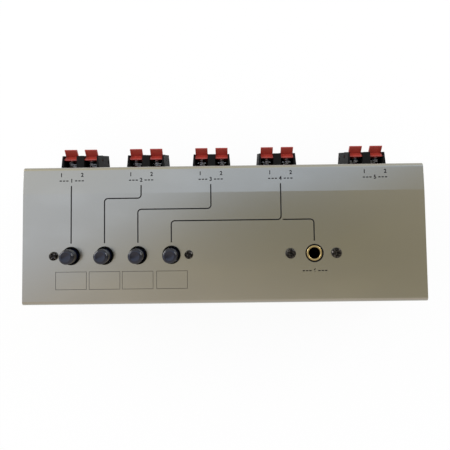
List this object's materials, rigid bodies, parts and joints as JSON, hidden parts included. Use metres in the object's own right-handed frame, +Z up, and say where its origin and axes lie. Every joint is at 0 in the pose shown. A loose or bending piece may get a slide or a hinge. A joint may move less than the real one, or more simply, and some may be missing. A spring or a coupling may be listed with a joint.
{
  "type": "speaker selector switch",
  "caption": "Low metal box with round push buttons and a headphone jack on its face, and spring-lever wire terminals along its rear wall.",
  "frame": {"origin": "on the table, under the middle of the whole outline, lever tips included", "axes": "+X to the right along the row of buttons, +Y to the terminals at the rear, +Z up out of the control panel"},
  "size_m": [0.23, 0.0908, 0.059],
  "materials": {
    "cover_finish": "satin metallic, champagne silver",
    "tray_finish": "satin metallic, a shade darker",
    "black_plastic": "fine moulded texture",
    "black_satin_plastic": "satin",
    "button_plastic": "semi-gloss, blue-black",
    "black_lever_plastic": "semi-gloss",
    "red_plastic": "semi-gloss, deep red",
    "white_plastic": "moulded",
    "switch_plastic": "moulded",
    "gold_metal": "gold-plated, bright",
    "tinned_metal": "tin-plated",
    "zinc_steel": "zinc-plated",
    "spring_steel": "drawn wire",
    "black_screws": "black oxide, oiled",
    "foot_rubber": "matte",
    "board": "lacquered circuit board",
    "resistor_ceramic": "unglazed",
    "wire_jacket": "flexible jacket"
  },
  "bodies": {
    "case": {"top_cover": "cover_finish", "base_tray": "tray_finish", "cover_screws": "black_screws", "rubber_feet": "foot_rubber", "foot_screws": "zinc_steel", "button_collars": "black_satin_plastic", "switch_bracket": "zinc_steel", "bracket_screws": "black_screws", "switch_pins": "tinned_metal", "switch_board": "board", "return_springs": "spring_steel", "jack_body": "black_plastic", "jack_sleeve": "gold_metal", "jack_contacts": "tinned_metal", "jack_screws": "black_screws", "phones_board": "board", "phones_resistors": "resistor_ceramic", "terminal_contacts": "tinned_metal", "terminal_screws": "black_screws", "upper_lever_springs": "spring_steel", "lower_lever_springs": "spring_steel", "wiring": "wire_jacket", "switch_body_a": "switch_plastic", "switch_body_b": "switch_plastic", "switch_body_c": "switch_plastic", "switch_body_d": "switch_plastic", "terminal_block_a": "black_plastic", "terminal_block_b": "black_plastic", "terminal_block_c": "black_plastic", "terminal_block_d": "black_plastic", "terminal_block_amp": "black_plastic"},
    "push_button_a": {"button_a": "button_plastic", "plunger_a": "white_plastic"},
    "push_button_b": {"button_b": "button_plastic", "plunger_b": "white_plastic"},
    "push_button_c": {"button_c": "button_plastic", "plunger_c": "white_plastic"},
    "push_button_d": {"button_d": "button_plastic", "plunger_d": "white_plastic"},
    "lever_a_lower_left": {"lever_a_lower_left": "black_lever_plastic"},
    "lever_a_lower_right": {"lever_a_lower_right": "black_lever_plastic"},
    "lever_a_upper_left": {"lever_a_upper_left": "red_plastic"},
    "lever_a_upper_right": {"lever_a_upper_right": "red_plastic"},
    "lever_b_lower_left": {"lever_b_lower_left": "black_lever_plastic"},
    "lever_b_lower_right": {"lever_b_lower_right": "black_lever_plastic"},
    "lever_b_upper_left": {"lever_b_upper_left": "red_plastic"},
    "lever_b_upper_right": {"lever_b_upper_right": "red_plastic"},
    "lever_c_lower_left": {"lever_c_lower_left": "black_lever_plastic"},
    "lever_c_lower_right": {"lever_c_lower_right": "black_lever_plastic"},
    "lever_c_upper_left": {"lever_c_upper_left": "red_plastic"},
    "lever_c_upper_right": {"lever_c_upper_right": "red_plastic"},
    "lever_d_lower_left": {"lever_d_lower_left": "black_lever_plastic"},
    "lever_d_lower_right": {"lever_d_lower_right": "black_lever_plastic"},
    "lever_d_upper_left": {"lever_d_upper_left": "red_plastic"},
    "lever_d_upper_right": {"lever_d_upper_right": "red_plastic"},
    "lever_amp_lower_left": {"lever_amp_lower_left": "black_lever_plastic"},
    "lever_amp_lower_right": {"lever_amp_lower_right": "black_lever_plastic"},
    "lever_amp_upper_left": {"lever_amp_upper_left": "red_plastic"},
    "lever_amp_upper_right": {"lever_amp_upper_right": "red_plastic"}
  },
  "joints": [
    {"name": "button_a_press", "type": "slide", "parent": "case", "child": "push_button_a", "axis": [0, 0, -1], "range_m": [0, 0.004], "stiffness_N_per_m": 250, "springref_m": -0.008, "deforming": ["return_springs"]},
    {"name": "button_b_press", "type": "slide", "parent": "case", "child": "push_button_b", "axis": [0, 0, -1], "range_m": [0, 0.004], "stiffness_N_per_m": 250, "springref_m": -0.008, "deforming": ["return_springs"]},
    {"name": "button_c_press", "type": "slide", "parent": "case", "child": "push_button_c", "axis": [0, 0, -1], "range_m": [0, 0.004], "stiffness_N_per_m": 250, "springref_m": -0.008, "deforming": ["return_springs"]},
    {"name": "button_d_press", "type": "slide", "parent": "case", "child": "push_button_d", "axis": [0, 0, -1], "range_m": [0, 0.004], "stiffness_N_per_m": 250, "springref_m": -0.008, "deforming": ["return_springs"]},
    {"name": "lever_a_lower_left_press", "type": "hinge", "parent": "case", "child": "lever_a_lower_left", "pos_m": [-0.09325, 0.04, 0.0121], "axis": [1, 0, 0], "range_deg": [0, 12], "stiffness_Nm_per_rad": 0.05, "springref_deg": -11.46, "deforming": ["lower_lever_springs"]},
    {"name": "lever_a_lower_right_press", "type": "hinge", "parent": "case", "child": "lever_a_lower_right", "pos_m": [-0.08095, 0.04, 0.0121], "axis": [1, 0, 0], "range_deg": [0, 12], "stiffness_Nm_per_rad": 0.05, "springref_deg": -11.46, "deforming": ["lower_lever_springs"]},
    {"name": "lever_a_upper_left_press", "type": "hinge", "parent": "case", "child": "lever_a_upper_left", "pos_m": [-0.09325, 0.04, 0.0251], "axis": [1, 0, 0], "range_deg": [0, 12], "stiffness_Nm_per_rad": 0.05, "springref_deg": -11.46, "deforming": ["upper_lever_springs"]},
    {"name": "lever_a_upper_right_press", "type": "hinge", "parent": "case", "child": "lever_a_upper_right", "pos_m": [-0.08095, 0.04, 0.0251], "axis": [1, 0, 0], "range_deg": [0, 12], "stiffness_Nm_per_rad": 0.05, "springref_deg": -11.46, "deforming": ["upper_lever_springs"]},
    {"name": "lever_b_lower_left_press", "type": "hinge", "parent": "case", "child": "lever_b_lower_left", "pos_m": [-0.05325, 0.04, 0.0121], "axis": [1, 0, 0], "range_deg": [0, 12], "stiffness_Nm_per_rad": 0.05, "springref_deg": -11.46, "deforming": ["lower_lever_springs"]},
    {"name": "lever_b_lower_right_press", "type": "hinge", "parent": "case", "child": "lever_b_lower_right", "pos_m": [-0.04095, 0.04, 0.0121], "axis": [1, 0, 0], "range_deg": [0, 12], "stiffness_Nm_per_rad": 0.05, "springref_deg": -11.46, "deforming": ["lower_lever_springs"]},
    {"name": "lever_b_upper_left_press", "type": "hinge", "parent": "case", "child": "lever_b_upper_left", "pos_m": [-0.05325, 0.04, 0.0251], "axis": [1, 0, 0], "range_deg": [0, 12], "stiffness_Nm_per_rad": 0.05, "springref_deg": -11.46, "deforming": ["upper_lever_springs"]},
    {"name": "lever_b_upper_right_press", "type": "hinge", "parent": "case", "child": "lever_b_upper_right", "pos_m": [-0.04095, 0.04, 0.0251], "axis": [1, 0, 0], "range_deg": [0, 12], "stiffness_Nm_per_rad": 0.05, "springref_deg": -11.46, "deforming": ["upper_lever_springs"]},
    {"name": "lever_c_lower_left_press", "type": "hinge", "parent": "case", "child": "lever_c_lower_left", "pos_m": [-0.01325, 0.04, 0.0121], "axis": [1, 0, 0], "range_deg": [0, 12], "stiffness_Nm_per_rad": 0.05, "springref_deg": -11.46, "deforming": ["lower_lever_springs"]},
    {"name": "lever_c_lower_right_press", "type": "hinge", "parent": "case", "child": "lever_c_lower_right", "pos_m": [-0.00095, 0.04, 0.0121], "axis": [1, 0, 0], "range_deg": [0, 12], "stiffness_Nm_per_rad": 0.05, "springref_deg": -11.46, "deforming": ["lower_lever_springs"]},
    {"name": "lever_c_upper_left_press", "type": "hinge", "parent": "case", "child": "lever_c_upper_left", "pos_m": [-0.01325, 0.04, 0.0251], "axis": [1, 0, 0], "range_deg": [0, 12], "stiffness_Nm_per_rad": 0.05, "springref_deg": -11.46, "deforming": ["upper_lever_springs"]},
    {"name": "lever_c_upper_right_press", "type": "hinge", "parent": "case", "child": "lever_c_upper_right", "pos_m": [-0.00095, 0.04, 0.0251], "axis": [1, 0, 0], "range_deg": [0, 12], "stiffness_Nm_per_rad": 0.05, "springref_deg": -11.46, "deforming": ["upper_lever_springs"]},
    {"name": "lever_d_lower_left_press", "type": "hinge", "parent": "case", "child": "lever_d_lower_left", "pos_m": [0.02675, 0.04, 0.0121], "axis": [1, 0, 0], "range_deg": [0, 12], "stiffness_Nm_per_rad": 0.05, "springref_deg": -11.46, "deforming": ["lower_lever_springs"]},
    {"name": "lever_d_lower_right_press", "type": "hinge", "parent": "case", "child": "lever_d_lower_right", "pos_m": [0.03905, 0.04, 0.0121], "axis": [1, 0, 0], "range_deg": [0, 12], "stiffness_Nm_per_rad": 0.05, "springref_deg": -11.46, "deforming": ["lower_lever_springs"]},
    {"name": "lever_d_upper_left_press", "type": "hinge", "parent": "case", "child": "lever_d_upper_left", "pos_m": [0.02675, 0.04, 0.0251], "axis": [1, 0, 0], "range_deg": [0, 12], "stiffness_Nm_per_rad": 0.05, "springref_deg": -11.46, "deforming": ["upper_lever_springs"]},
    {"name": "lever_d_upper_right_press", "type": "hinge", "parent": "case", "child": "lever_d_upper_right", "pos_m": [0.03905, 0.04, 0.0251], "axis": [1, 0, 0], "range_deg": [0, 12], "stiffness_Nm_per_rad": 0.05, "springref_deg": -11.46, "deforming": ["upper_lever_springs"]},
    {"name": "lever_amp_lower_left_press", "type": "hinge", "parent": "case", "child": "lever_amp_lower_left", "pos_m": [0.08095, 0.04, 0.0121], "axis": [1, 0, 0], "range_deg": [0, 12], "stiffness_Nm_per_rad": 0.05, "springref_deg": -11.46, "deforming": ["lower_lever_springs"]},
    {"name": "lever_amp_lower_right_press", "type": "hinge", "parent": "case", "child": "lever_amp_lower_right", "pos_m": [0.09325, 0.04, 0.0121], "axis": [1, 0, 0], "range_deg": [0, 12], "stiffness_Nm_per_rad": 0.05, "springref_deg": -11.46, "deforming": ["lower_lever_springs"]},
    {"name": "lever_amp_upper_left_press", "type": "hinge", "parent": "case", "child": "lever_amp_upper_left", "pos_m": [0.08095, 0.04, 0.0251], "axis": [1, 0, 0], "range_deg": [0, 12], "stiffness_Nm_per_rad": 0.05, "springref_deg": -11.46, "deforming": ["upper_lever_springs"]},
    {"name": "lever_amp_upper_right_press", "type": "hinge", "parent": "case", "child": "lever_amp_upper_right", "pos_m": [0.09325, 0.04, 0.0251], "axis": [1, 0, 0], "range_deg": [0, 12], "stiffness_Nm_per_rad": 0.05, "springref_deg": -11.46, "deforming": ["upper_lever_springs"]}
  ]
}
